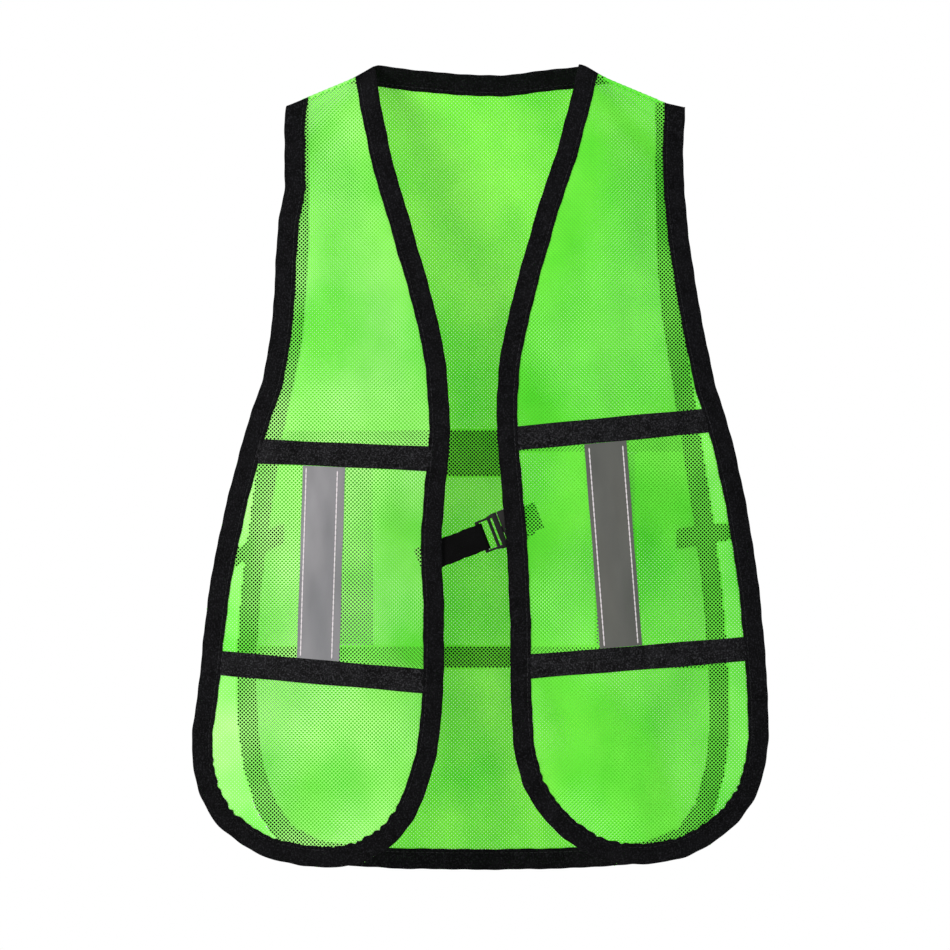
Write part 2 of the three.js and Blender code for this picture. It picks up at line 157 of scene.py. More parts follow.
# The three net looks are one cloth in different light: the right front's greens are painted lighter
# and the left front's painted darker, lit and shaded copies; the back's lie in between
netLooks = {
    "rightFrontNet": {
        "dark": "58da2e", "light": "b4ff8c", "shade": "3cb418", "paintedGlow": 0.08,
        "tonePatch": 75, "lattice": 1.63, "latticeShadeStrength": 0.25, "lift": 0.5,
    },
    "leftFrontNet": {
        "dark": "3ecb1a", "light": "80f452", "shade": "2ba40c", "paintedGlow": 0.07,
        "tonePatch": 75, "lattice": 1.63, "latticeShadeStrength": 0.30, "lift": 0.5,
    },
    "backNet": {
        "dark": "46da18", "light": "8cfa4c", "shade": "2c9c08", "paintedGlow": 0.08,
        "tonePatch": 60, "lattice": 1.63, "latticeShadeStrength": 0.50, "lift": 0.7,
    },
}
netFinish = {"toneRange": (0.32, 0.68), "toneDetail": 3.0, "fibre": 0.25, "fibreDepth": 0.12,
             "roughness": 0.8, "sheen": 0.05, "shine": 0.2}
wovenLooks = {
    "blackBinding": {"dark": "040405", "light": "27272b", "rib": 0.55, "lift": 0.14,
                     "roughness": 0.85, "shine": 0.06, "fleck": 0.75, "fleckSize": 0.9},
    "blackTape": {"dark": "050506", "light": "3e3e42", "rib": 0.6, "lift": 0.14,
                  "roughness": 0.80, "shine": 0.07, "fleck": 0.85, "fleckSize": 0.9},
    "blackElastic": {"dark": "040405", "light": "1b1b1f", "rib": 0.9, "lift": 0.18,
                     "roughness": 0.85, "shine": 0.06, "fleck": 0.4, "fleckSize": 0.7},
    "blackWebbing": {"dark": "020202", "light": "141417", "rib": 1.0, "lift": 0.18,
                     "roughness": 0.75, "shine": 0.06, "fleck": 0.35, "fleckSize": 0.8},
    "paleThread": {"dark": "d8d0d6", "light": "fbf7fa", "rib": 0.5, "lift": 0.05,
                   "roughness": 0.6, "shine": 0.2, "fleck": 0.2, "fleckSize": 0.5},
    "blackThread": {"dark": "0e0e10", "light": "3a3a40", "rib": 0.5, "lift": 0.05,
                    "roughness": 0.5, "shine": 0.15, "fleck": 0.6, "fleckSize": 2.2},
    "greenSeam": {"dark": "4cd92b", "light": "8ff064", "rib": 0.8, "lift": 0.12,
                  "roughness": 0.8, "shine": 0.15, "fleck": 0.3, "fleckSize": 0.6},
}
# random patches where the painted highlight on the rib tops and the painted shade between them are
# strongest; pale flecks; the ribs' bump
wovenFinish = {"paintedRibLightPatch": 9, "paintedRibLightDetail": 4.0, "paintedRibLightRange": (0.35, 0.75), "paintedRibLightMost": 0.6,
               "fleckRange": (0.50, 0.74), "fleckDetail": 3.0, "bump": 0.8}
# One glass bead cloth: the right front's strip is painted lighter and the left front's painted
# darker, lit and shaded copies
reflectiveLooks = {
    "silverBeadRightLit": {"dark": "6e6e72", "light": "7f7f84", "roughness": 0.55, "metal": 0.1},
    "silverBeadLeftShaded": {"dark": "4b4c48", "light": "5a5b56", "roughness": 0.55, "metal": 0.1},
    "silverBeadBack": {"dark": "6a6b6f", "light": "808185", "roughness": 0.55, "metal": 0.1},
}
reflectiveFinish = {"brushing": 0.35, "streak": 14, "streakDetail": 3.0, "bead": 0.3,
                    "beadShare": 0.35, "range": (0.3, 0.7), "beadDepth": 0.05, "bump": 0.5}
plasticLook = {"dark": "040404", "light": "0f0f11", "roughness": 0.48, "shine": 0.18,
               "rubbedPatch": 7, "rubbedDetail": 4.0, "smoother": 0.08, "rougher": 0.12,
               "grain": 0.12, "grainDepth": 0.04, "bump": 0.35}


def startMaterial(name):
    material = bpy.data.materials.new(name)
    material.use_nodes = True
    tree = material.node_tree
    return material, tree, tree.nodes["Principled BSDF"]


def blendColours(tree, factor, a, b):
    links = {0: factor}
    settings = {"data_type": "RGBA"}
    for index, value in ((6, a), (7, b)):
        if isinstance(value, str):
            settings[index] = linear(value)
        else:
            links[index] = value
    return addNode(tree, "ShaderNodeMix", settings, links).outputs[2]


# bands running across direction (x, y, z), one each period
def bands(tree, coords, direction, period):
    along = addNode(tree, "ShaderNodeVectorMath", {"operation": "DOT_PRODUCT"}, {0: coords})
    along.inputs[1].default_value = [2 * math.pi / period * d for d in direction]
    wave = addNode(tree, "ShaderNodeMath", {"operation": "SINE"}, {0: along.outputs["Value"]})
    return addNode(tree, "ShaderNodeMapRange", {"From Min": -1.0}, {0: wave.outputs[0]}).outputs[0]


def times(tree, a, b):
    return addNode(tree, "ShaderNodeMath", {"operation": "MULTIPLY"}, {0: a, 1: b}).outputs[0]


def noise(tree, coords, size, detail=2.0):
    made = addNode(tree, "ShaderNodeTexNoise", {"Scale": 1 / size, "Detail": detail},
                   {"Vector": coords})
    return made.outputs["Fac"]


# knitted polyester net: two tones of dye, with painted shade in the valleys between the yarns
def netMaterial(name, look):
    material, tree, shader = startMaterial(f"{name}KnittedPolyester")
    coords = addNode(tree, "ShaderNodeTexCoord").outputs["Object"]
    tone = noise(tree, coords, look["tonePatch"] * mm, netFinish["toneDetail"])
    low, high = netFinish["toneRange"]
    spread = addNode(tree, "ShaderNodeMapRange", {"From Min": low, "From Max": high}, {0: tone})
    dye = blendColours(tree, spread.outputs[0], look["dark"], look["light"])
    half = math.sqrt(0.5)
    rising = bands(tree, coords, (half, 0, half), look["lattice"] * mm)
    falling = bands(tree, coords, (half, 0, -half), look["lattice"] * mm)
    # painted shade: the colour turns towards the shade colour in the valleys between the yarns
    valley = times(tree, rising, falling)
    depth = addNode(tree, "ShaderNodeMath", {"operation": "MULTIPLY", 1: look["latticeShadeStrength"]},
                    {0: valley})
    colour = blendColours(tree, depth.outputs[0], dye, look["shade"])
    tree.links.new(colour, shader.inputs["Base Color"])
    fibre = noise(tree, coords, netFinish["fibre"] * mm)
    bump = addNode(tree, "ShaderNodeBump",
                   {"Strength": look["lift"], "Distance": netFinish["fibreDepth"] * mm},
                   {"Height": fibre})
    tree.links.new(bump.outputs[0], shader.inputs["Normal"])
    shader.inputs["Roughness"].default_value = netFinish["roughness"]
    shader.inputs["Sheen Weight"].default_value = netFinish["sheen"]
    shader.inputs["Specular IOR Level"].default_value = netFinish["shine"]
    # painted glow: the net gives off green light of its own, under any lamp or none
    shader.inputs["Emission Color"].default_value = linear(look["light"])
    shader.inputs["Emission Strength"].default_value = look["paintedGlow"]
    return material


# woven tape, webbing or thread: crossing ribs in the piece's own lengths, with pale flecks, a
# painted highlight on the rib tops and painted shade between them, stronger in random patches
def wovenMaterial(name, look):
    material, tree, shader = startMaterial(f"{name}Woven")
    coords = addNode(tree, "ShaderNodeUVMap", {"uv_map": "lengths"}).outputs["UV"]
    half = math.sqrt(0.5)
    weave = times(tree, bands(tree, coords, (half, half, 0), look["rib"] * mm),
                  bands(tree, coords, (half, -half, 0), look["rib"] * mm))
    space = addNode(tree, "ShaderNodeTexCoord").outputs["Object"]
    paintedRibLightPatches = noise(tree, space, wovenFinish["paintedRibLightPatch"] * mm, wovenFinish["paintedRibLightDetail"])
    flecks = noise(tree, space, look["fleckSize"] * mm, wovenFinish["fleckDetail"])
    low, high = wovenFinish["fleckRange"]
    fleck = addNode(tree, "ShaderNodeMapRange",
                    {"From Min": low, "From Max": high, "To Max": look["fleck"]}, {0: flecks})
    low, high = wovenFinish["paintedRibLightRange"]
    amount = addNode(tree, "ShaderNodeMapRange",
                     {"From Min": low, "From Max": high, "To Max": wovenFinish["paintedRibLightMost"]},
                     {0: paintedRibLightPatches})
    # painted highlight and shade: the rib height turns the colour lighter on the rib tops and darker
    # between them, plus the pale flecks
    thread = addNode(tree, "ShaderNodeMath", {"operation": "MULTIPLY_ADD"},
                     {0: weave, 1: amount.outputs[0], 2: fleck.outputs[0]})
    colour = blendColours(tree, thread.outputs[0], look["dark"], look["light"])
    tree.links.new(colour, shader.inputs["Base Color"])
    bump = addNode(tree, "ShaderNodeBump",
                   {"Strength": wovenFinish["bump"], "Distance": look["lift"] * mm},
                   {"Height": weave})
    tree.links.new(bump.outputs[0], shader.inputs["Normal"])
    shader.inputs["Roughness"].default_value = look["roughness"]
    shader.inputs["Specular IOR Level"].default_value = look["shine"]
    return material


# glass bead reflective cloth: grey, finely speckled, brushed a little along its length
def reflectiveMaterial(name, look):
    finish = reflectiveFinish
    material, tree, shader = startMaterial(f"{name}GlassBeadCloth")
    coords = addNode(tree, "ShaderNodeUVMap", {"uv_map": "lengths"}).outputs["UV"]
    brushed = addNode(tree, "ShaderNodeMapping", {"Scale": (finish["brushing"], 1, 1)},
                      {"Vector": coords})
    streaks = noise(tree, brushed.outputs[0], finish["streak"] * mm, finish["streakDetail"])
    beads = noise(tree, coords, finish["bead"] * mm)
    mixed = addNode(tree, "ShaderNodeMix", {"data_type": "FLOAT", 0: finish["beadShare"]},
                    {2: streaks, 3: beads}).outputs[0]
    low, high = finish["range"]
    spread = addNode(tree, "ShaderNodeMapRange", {"From Min": low, "From Max": high}, {0: mixed})
    colour = blendColours(tree, spread.outputs[0], look["dark"], look["light"])
    tree.links.new(colour, shader.inputs["Base Color"])
    bump = addNode(tree, "ShaderNodeBump",
                   {"Strength": finish["bump"], "Distance": finish["beadDepth"] * mm},
                   {"Height": beads})
    tree.links.new(bump.outputs[0], shader.inputs["Normal"])
    shader.inputs["Roughness"].default_value = look["roughness"]
    shader.inputs["Metallic"].default_value = look["metal"]
    return material


# moulded acetal: fine satin texture, paler where fingers rub it
def plasticMaterial(look):
    material, tree, shader = startMaterial("blackMouldedAcetal")
    coords = addNode(tree, "ShaderNodeTexCoord").outputs["Object"]
    rubbed = noise(tree, coords, look["rubbedPatch"] * mm, look["rubbedDetail"])
    colour = blendColours(tree, rubbed, look["dark"], look["light"])
    tree.links.new(colour, shader.inputs["Base Color"])
    grain = noise(tree, coords, look["grain"] * mm)
    bump = addNode(tree, "ShaderNodeBump",
                   {"Strength": look["bump"], "Distance": look["grainDepth"] * mm},
                   {"Height": grain})
    tree.links.new(bump.outputs[0], shader.inputs["Normal"])
    rough = addNode(tree, "ShaderNodeMapRange",
                    {"To Min": look["roughness"] - look["smoother"],
                     "To Max": look["roughness"] + look["rougher"]},
                    {0: rubbed})
    tree.links.new(rough.outputs[0], shader.inputs["Roughness"])
    shader.inputs["Specular IOR Level"].default_value = look["shine"]
    return material


materials = {name: netMaterial(name, look) for name, look in netLooks.items()}
materials.update({name: wovenMaterial(name, look) for name, look in wovenLooks.items()})
materials.update({name: reflectiveMaterial(name, look) for name, look in reflectiveLooks.items()})
materials["plastic"] = plasticMaterial(plasticLook)
print("stage: materials")


# the worn shape, shared by every cloth piece

shoulder = [(0.062, 0.0), (0.076, -0.0085), (0.118, -0.026)]                  # |x|, height
fall = [(0.0, 0.0013), (0.010, 0.012), (0.040, 0.026), (0.110, 0.038), (0.200, 0.045)]
sides = [(0.062, 0.0), (0.118, -0.014), (0.175, -0.042)]                      # |x|, less depth
shoulderGap = 0.0013
blur = {"shoulder": 0.014, "fall": 0.012, "sides": 0.040}
# waves and creases grow over these lengths: below the shoulder, and in from |x|
foldsGrow = {"below": 0.02, "belowOver": 0.08, "beside": 0.19, "besideOver": 0.06}

# soft waves in the cloth: height, wave along x, wave along z, phase (metres, radians)
waves = {
    front: [(1.5, 0.062, 0.31, 0.4), (1.0, 0.037, -0.19, 2.1), (0.5, 0.021, 0.083, 1.2)],
    back: [(1.2, 0.083, -0.36, 1.0), (0.8, 0.047, 0.23, 0.3), (0.4, 0.024, 0.074, 2.6)],
}
# pressed creases: side, height, width, x and z of the middle, slope, half length (mm)
creases = [
    (back, 1.0, 5, 15, -64, 0.03, 60),
    (back, 2.2, 9, -6, -411, 0.10, 30),
    (front, 0.7, 4, 84, -61, 0.02, 30),
    (front, 1.2, 12, -120, -330, 0.9, 60),
    (front, 1.0, 10, 130, -420, -0.7, 50),
]
# flat places, where the closure and the side straps are sewn on: x, z, radius (mm)
flats = [(4, -285, 62), (-154, -300, 30), (154, -281, 30)]


def easedLine(points, width):
    step, past = 0.0005, 0.08
    at = np.arange(points[0][0] - past, points[-1][0] + past, step)
    value = np.interp(at, *zip(*points))
    kernel = np.hanning(int(width / step) | 1)
    eased = np.convolve(np.pad(value, len(kernel) // 2, mode="edge"), kernel / kernel.sum(), "valid")
    return lambda where: np.interp(where, at, eased)


shoulderHeight = easedLine(shoulder, blur["shoulder"])
fallDepth = easedLine(fall, blur["fall"])
sideDepth = easedLine(sides, blur["sides"])


def smooth(value):
    share = np.clip(value, 0, 1)
    return share * share * (3 - 2 * share)


def foldHeight(side, x, z):
    height = np.zeros_like(x)
    for size, across, down, phase in waves[side]:
        height += size * mm * np.sin(2 * math.pi * (x / across + z / down) + phase)
    for where, size, width, middleX, middleZ, slope, half in creases:
        if where == side:
            run = (x / mm - middleX) / math.hypot(1, slope)
            off = (z / mm - middleZ - slope * (x / mm - middleX)) / math.hypot(1, slope)
            height += size * mm * np.exp(-(off / width) ** 2) * np.exp(-(run / half) ** 4)
    down = shoulderHeight(abs(x)) - z
    height *= smooth((down - foldsGrow["below"]) / foldsGrow["belowOver"])
    height *= smooth((foldsGrow["beside"] - abs(x)) / foldsGrow["besideOver"])
    for middleX, middleZ, radius in flats:
        near = ((x / mm - middleX) ** 2 + (z / mm - middleZ) ** 2) / radius ** 2
        height *= 1 - np.exp(-near ** 2)
    return height


def wornDepth(side, x, z):
    plain = fallDepth(shoulderHeight(abs(x)) - z) + sideDepth(abs(x))
    return np.maximum(shoulderGap, plain) + foldHeight(side, x, z)


# points on one side of the vest, lift (metres) over its cloth's middle
def worn(side, x, lift, z):
    z = np.minimum(z, shoulderHeight(abs(x)))
    return np.column_stack([x, side * (wornDepth(side, x, z) + lift), z])


# mesh helpers

def finishPiece(name, bm, material, slot, sharp=None):
    mesh = bpy.data.meshes.new(name)
    bm.to_mesh(mesh)
    bm.free()
    mesh.polygons.foreach_set("use_smooth", [True] * len(mesh.polygons))
    if sharp is not None:
        mesh.set_sharp_from_angle(angle=math.radians(sharp))
    mesh.materials.append(materials[material])
    made = bpy.data.objects.new(name, mesh)
    scene.collection.objects.link(made)
    return made


# A strip: rows along its length and columns round its closed section, closed at both ends.
# place(along, around) gives the points, along and around running from 0 to 1.
def stripMesh(rows, columns, lengths, place):
    bm = bmesh.new()
    bmesh.ops.create_grid(bm, x_segments=rows, y_segments=columns, size=0.5)
    layer = bm.loops.layers.uv.new("lengths")
    for face in bm.faces:
        for loop in face.loops:
            u, v = loop.vert.co[0] + 0.5, loop.vert.co[1] + 0.5
            loop[layer].uv = (u * lengths[0], v * lengths[1])
    flat = np.array([v.co[:2] for v in bm.verts]) + 0.5
    for vert, point in zip(bm.verts, place(flat[:, 0], flat[:, 1])):
        vert.co = point
    merged = 0.002 * mm
    bmesh.ops.remove_doubles(bm, verts=bm.verts, dist=merged)
    bmesh.ops.dissolve_degenerate(bm, edges=bm.edges, dist=merged)
    bmesh.ops.holes_fill(bm, edges=[e for e in bm.edges if e.is_boundary], sides=0)
    bmesh.ops.recalc_face_normals(bm, faces=bm.faces)
    return bm


def closedStrip(name, rows, columns, lengths, place, material, slot):
    return finishPiece(name, stripMesh(rows, columns, lengths, place), material, slot, sharp=60)


def sectionAt(section, around):
    points = np.array(section + section[:1], float)
    at = np.linspace(0, 1, len(points))
    return np.interp(around, at, points[:, 0]), np.interp(around, at, points[:, 1])


def girth(section):
    points = np.array(section + section[:1], float)
    return np.hypot(*np.diff(points, axis=0).T).sum() * mm


# outlines taken from the CAD nodes

shortestEdge = 0.05         # a bound edge is longer than this (metres)
perMm = 1000                # grid steps that match the corners of neighbouring faces


# Border of a CAD cloth's outer face, as points in x and z
def faceBorder(node, side):
    mesh = frame["nodes"][node].data
    grid = [tuple(round(c / mm * perMm) for c in v.co) for v in mesh.vertices]
    edges = set()
    for face in mesh.polygons:
        if face.normal.y * side > 0.3:
            ring = [grid[i] for i in face.vertices]
            edges.update((a, b) for a, b in zip(ring, ring[1:] + ring[:1]) if a != b)
    following = {a: b for a, b in edges if (b, a) not in edges}
    loops = []
    while following:
        start, at = following.popitem()
        loop = [start]
        while at is not None and at != start:
            loop.append(at)
            at = following.pop(at, None)
        loops.append(loop)
    longest = max(loops, key=len)
    return np.array(longest, float)[:, (0, 2)] * mm / perMm


# The bound edges of a panel: its border without the shoulder seams, longest first
def boundEdges(node, side):
    border = faceBorder(node, side)
    sewn = np.interp(abs(border[:, 0]), *zip(*shoulder)) - border[:, 1] < 0.1 * mm
    firstSewn = int(np.argmax(sewn))
    border, sewn = np.roll(border, -firstSewn, axis=0), np.roll(sewn, -firstSewn)
    runs, run = [], None
    for i, isSewn in enumerate(sewn):
        if not isSewn:
            run = [border[i - 1]] if run is None else run
            run.append(border[i])
        elif run is not None:
            runs.append(np.array([*run, border[i]]))
            run = None
    if run is not None:
        runs.append(np.array([*run, border[0]]))
    length = lambda points: np.hypot(*np.diff(points, axis=0).T).sum()
    return sorted((r for r in runs if length(r) > shortestEdge), key=length, reverse=True)


def evenPath(path, step, rounds):
    along = np.r_[0, np.cumsum(np.hypot(*np.diff(path, axis=0).T))]
    at = np.linspace(0, along[-1], max(3, round(along[-1] / step)))
    even = np.column_stack([np.interp(at, along, path[:, k]) for k in (0, 1)])
    for _ in range(rounds):
        even[1:-1] = (even[:-2] + 2 * even[1:-1] + even[2:]) / 4
    return even


def inward(path, side):
    run = np.gradient(path, axis=0)
    run /= np.hypot(run[:, 0], run[:, 1])[:, None]
    return side * np.column_stack([run[:, 1], -run[:, 0]])


def longer(path, distance):
    first = path[0] - path[1]
    last = path[-1] - path[-2]
    return np.vstack([
        path[0] + first / np.hypot(*first) * distance, path,
        path[-1] + last / np.hypot(*last) * distance,
    ])


# nets: a lattice of yarns with real holes

# Open share of a cell, larger where another piece lies behind it and shows through. The
# real cloth has holes of one size: the two shares give its tones over dark and over light.
# yarn is the share of the cut left between the holes.
netSizes = {
    "frontNet": {"pitch": 1.63, "open": 0.05, "backed": 0.48, "relief": 0.16, "yarn": 0.65},
    "backNet": {"pitch": 1.63, "open": 0.04, "backed": 0.56, "relief": 0.16, "yarn": 0.96},
}
# cells up to overShoulder above the shoulder line are tested as countedBelow under it (mm)
overShoulder, countedBelow = 0.9, 0.3


def insideOf(points, border):
    inside = np.zeros(len(points), bool)
    x, z = points[:, 0], points[:, 1]
    for (x0, z0), (x1, z1) in zip(border, np.roll(border, -1, axis=0)):
        if z0 != z1:
            crosses = (z0 > z) != (z1 > z)
            inside ^= crosses & (x < (x1 - x0) * (z - z0) / (z1 - z0) + x0)
    return inside


def net(name, border, side, kind, look, behind, zRange=(-1, 1)):
    sizes = netSizes[kind]
    pitch = sizes["pitch"] * mm
    low, high = border.min(0), border.max(0)
    low[1], high[1] = max(low[1], zRange[0]), min(high[1], zRange[1])
    across = (high - low).sum() / math.sqrt(2)
    count = math.ceil(across / pitch / 2 + 2) * 2
    # the lattice's middle lies on a shared grid, so that neighbouring nets line up
    cell = pitch * math.sqrt(2)
    middle = np.round((low + high) / 2 / cell) * cell
    bm = bmesh.new()
    bmesh.ops.create_grid(bm, x_segments=count, y_segments=count, size=count * pitch / 2)
    turn = Matrix.Translation((*middle, 0)) @ Matrix.Rotation(math.pi / 4, 4, "Z")
    bmesh.ops.transform(bm, matrix=turn, verts=bm.verts)
    centres = np.array([f.calc_center_median()[:2] for f in bm.faces])
    top = shoulderHeight(abs(centres[:, 0]))
    tested = centres.copy()
    tested[:, 1] = np.where(centres[:, 1] < top + overShoulder * mm,
                            np.minimum(centres[:, 1], top - countedBelow * mm), 1)
    kept = insideOf(tested, border)
    kept &= (centres[:, 1] >= zRange[0]) & (centres[:, 1] < zRange[1])
    bmesh.ops.delete(bm, geom=[f for f, k in zip(bm.faces, kept) if not k], context="FACES")
    crossings = list(bm.verts)
    cells = list(bm.faces)
    centres = np.array([f.calc_center_median()[:2] for f in cells])
    corner = pitch * math.sqrt(sizes["backed"] / 2)
    backed = np.ones(len(cells), bool)
    for offset in ((corner, 0), (-corner, 0), (0, corner), (0, -corner)):
        backed &= np.any([insideOf(centres + offset, outline) for outline in behind], axis=0)
    for group, share in ((backed, sizes["backed"]), (~backed, sizes["open"])):
        chosen = [f for f, k in zip(cells, group) if k]
        inset = pitch * (1 - math.sqrt(share)) / 2
        if chosen:
            bmesh.ops.inset_individual(bm, faces=chosen, thickness=inset, use_even_offset=True)
    bmesh.ops.delete(bm, geom=cells, context="FACES_ONLY")
    if side == back:
        bmesh.ops.reverse_faces(bm, faces=bm.faces)
    others = list(set(bm.verts) - set(crossings))
    for verts, lift in ((crossings, sizes["relief"] * mm), (others, 0)):
        flat = np.array([v.co[:2] for v in verts])
        for vert, point in zip(verts, worn(side, flat[:, 0], lift, flat[:, 1])):
            vert.co = point
    return finishPiece(name, bm, look, "mesh")


# bindings

# outer leg from the fold to the tape's edge and back inside, mirrored for the inner leg (mm)
bindingLeg = [
    (0.1, 0.42), (0.5, 0.80), (1.5, 0.98), (3.5, 1.02), (6.0, 1.03), (8.4, 1.0), (9.6, 0.94),
    (10.2, 0.76), (10.8, 0.90), (11.6, 0.95), (12.3, 0.86), (12.5, 0.62), (12.2, 0.42),
    (10.5, 0.36), (6.0, 0.38), (2.0, 0.36), (0.95, 0.16),
]
binding = {
    "step": 1.6, "past": 15, "clothInset": 1.0, "stitchAt": 10.2,
    "section": [(0, 0), *bindingLeg, (0.8, 0), *[(s, -t) for s, t in reversed(bindingLeg)]],
    "rounds": 6, "seamEnd": 1,
    "wander": 0.22, "wanderLengths": (47, 29, 13), "foldWander": 0.10, "foldOver": 6,
    "freeFrom": 5, "freeOver": 7.5, "swell": 0.10, "swellLength": 2.7,
    "pucker": 0.75, "puckerLength": 8.0, "puckerDrift": (1.3, 11), "puckerLift": 0.35,
    "bendBlur": 21, "bendFrom": 6, "bendOver": 16,            # bends in 1 / m
}


def bend(path):
    run = np.gradient(path, axis=0)
    angle = np.unwrap(np.arctan2(run[:, 1], run[:, 0]))
    turning = abs(np.gradient(angle)) / (binding["step"] * mm)
    kernel = np.hanning(binding["bendBlur"])
    return np.convolve(turning, kernel / kernel.sum(), "same")


def bindingPiece(name, path, side, seed, nodes):
    s = binding
    edge = longer(path, s["past"] * mm)
    edge = evenPath(edge, s["step"] * mm, s["rounds"])
    across = inward(edge, side)
    edge = edge - across * s["clothInset"] * mm
    rows = len(edge) - 1
    at = np.arange(rows + 1) * s["step"]
    rng = np.random.default_rng(seed)
    phase = rng.uniform(0, 2 * math.pi, 3)
    wander = sum(np.sin(2 * math.pi * at / length + p)
                 for length, p in zip(s["wanderLengths"], phase))
    tight = smooth((bend(edge) - s["bendFrom"]) / s["bendOver"])
    drift, driftLength = s["puckerDrift"]
    ripple = np.sin(2 * math.pi * at / s["puckerLength"] + drift * np.sin(at / driftLength)
                    + phase[0])

    def place(along, around):
        i = np.clip(np.round(along * rows).astype(int), 0, rows)
        inset, lift = sectionAt(s["section"], around)
        share = smooth((inset - s["freeFrom"]) / s["freeOver"])
        reach = inset + share * (s["wander"] * wander[i] / 2 + s["pucker"] * tight[i] * ripple[i])
        edgeShare = 1 - smooth(inset / s["foldOver"])
        reach = reach + edgeShare * s["foldWander"] * wander[i]
        swell = s["swell"] * np.sin(at[i] / s["swellLength"] + phase[1])
        lift = lift * (1 + swell * (1 - share))
        lift = lift + share * s["puckerLift"] * tight[i] * (1 + ripple[i]) * np.sign(lift)
        where = edge[i] + across[i] * reach[:, None] * mm
        return worn(side, where[:, 0], lift * mm, where[:, 1])

    length = rows * s["step"] * mm
    made = closedStrip(name, rows, len(s["section"]), (length, girth(s["section"])), place,
                       "blackBinding", "binding")
    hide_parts(*nodes)
    seam = edge + across * s["stitchAt"] * mm
    kept = seam[:, 1] < shoulderHeight(abs(seam[:, 0])) - s["seamEnd"] * mm
    return made, seam[kept]


# flat tapes and strips

# extra is how far the ends pass the CAD's, and a stitch row lies rowInset from the ends (mm)
tapes = {
    "cross": {"lift": (0.32, 0.86), "grooves": [0.0], "step": 2.0, "columns": 18, "wave": 0.16,
              "extra": 2.5, "rowInset": 2.5, "rowLift": 0.72,
              "material": "blackTape", "slot": "cross_tape"},
    "reflective": {"lift": (0.30, 0.78), "grooves": [], "step": 2.0, "columns": 20, "wave": 0.30,
                   "extra": 0.2, "rowInset": 1.3, "rowLift": 0.90, "slot": "reflective"},
    "patch": {"lift": (0.32, 0.86), "grooves": [], "step": 1.5, "columns": 18, "wave": 0.15,
              "extra": 0, "rowInset": 1.5, "rowLift": 0.92,
              "material": "blackTape", "slot": "cross_tape"},
}
tapeShape = {"rim": 14, "rimLow": 0.45, "rimRise": 0.55, "ripples": (9, 4), "edgeRipple": 0.2,
             "groove": 0.22, "grooveWidth": 0.7, "cornerPull": 3, "fewestRows": 8}


# The four corners of a straight tape, from its CAD node's outer face: the ends of its
# lower edge and of its upper edge, in the tape's direction
def tapeCorners(node, side):
    border = faceBorder(node, side)
    spread = border - (border.max(0) + border.min(0)) / 2
    run = np.linalg.eigh(spread.T @ spread)[1][:, 1]
    run = run * (1 if run[np.argmax(abs(run))] > 0 else -1)
    cross = np.array([-run[1], run[0]])
    along, off = spread @ run, spread @ cross
    pull = tapeShape["cornerPull"]
    corner = lambda a, b: border[np.argmax(a * along + b * off * pull)]
    return [corner(-1, -1), corner(1, -1), corner(-1, 1), corner(1, 1)]


def tapePiece(name, node, side, kind, material=None, rise=0.0):
    s, shape = tapes[kind], tapeShape
    corners = tapeCorners(node, side)
    corners[2:] = [corner + (0, rise * mm) for corner in corners[2:]]
    for first, last in ((0, 1), (2, 3)):
        run = (corners[last] - corners[first]) / np.hypot(*(corners[last] - corners[first]))
        corners[first] = corners[first] - run * s["extra"] * mm
        corners[last] = corners[last] + run * s["extra"] * mm
    half = np.hypot(*(corners[1] - corners[0])) / 2
    cross = (corners[2] + corners[3] - corners[0] - corners[1]) / 2
    halfWidth = np.hypot(*cross) / 2
    rows = max(shape["fewestRows"], round(2 * half / (s["step"] * mm)))
    columns = s["columns"] * 2
    low, high = s["lift"]
    seed = sum(map(ord, name))
    phase = np.random.default_rng(seed).uniform(0, 6.28, 4)

    def onTape(along, off):
        across = (off * mm / halfWidth + 1)[:, None] / 2
        low = corners[0] + np.outer(along, corners[1] - corners[0])
        high = corners[2] + np.outer(along, corners[3] - corners[2])
        return low * (1 - across) + high * across

    def place(along, around):
        # the outer face runs from one edge to the other, the inner face back to the start
        around = np.where(around > 0.999, 0, around)
        outer = around < 0.5
        share = np.where(outer, around * 2, 2 - around * 2) * 2 - 1
        rim = 1 - abs(share) ** shape["rim"]
        off = share * halfWidth / mm
        run = along * half / mm
        ripple = sum(np.sin(run / length + p) for length, p in zip(shape["ripples"], phase)) / 2
        full = low + (high - low) * (shape["rimLow"] + shape["rimRise"] * rim)
        lift = np.where(outer, full, low)
        for groove in s["grooves"]:
            dip = shape["groove"] * np.exp(-((off - groove) / shape["grooveWidth"]) ** 2)
            lift = lift - np.where(outer, dip, 0)
        lift = lift + s["wave"] * smooth(1 - abs(share)) * (ripple + 1) / 2
        off = off + shape["edgeRipple"] * ripple * abs(share) ** 3 * np.sign(share)
        where = onTape(along, off)
        return worn(side, where[:, 0], lift * mm, where[:, 1])

    made = closedStrip(name, rows, columns, (2 * half, 4 * halfWidth), place,
                       material or s["material"], s["slot"])
    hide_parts(node)

    # a stitch row: its path, and its height over the cloth
    def row(offset):
        share = s["rowInset"] * mm / (2 * half)
        path = onTape(np.linspace(share, 1 - share, rows + 1), np.full(rows + 1, offset))
        return path, s["rowLift"]

    return made, row, halfWidth / mm


# stitches: a thread that comes up through the cloth and dips into it again

stitching = {
    "black": {"pitch": 3.0, "radius": 0.26, "flat": 0.7, "dip": 0.35, "material": "blackThread"},
    "pale": {"pitch": 3.2, "radius": 0.42, "flat": 0.5, "dip": 0.10, "material": "paleThread"},
}
thread = {"steps": 6, "columns": 6, "girth": 2, "thinnest": 0.45, "swell": 0.55}


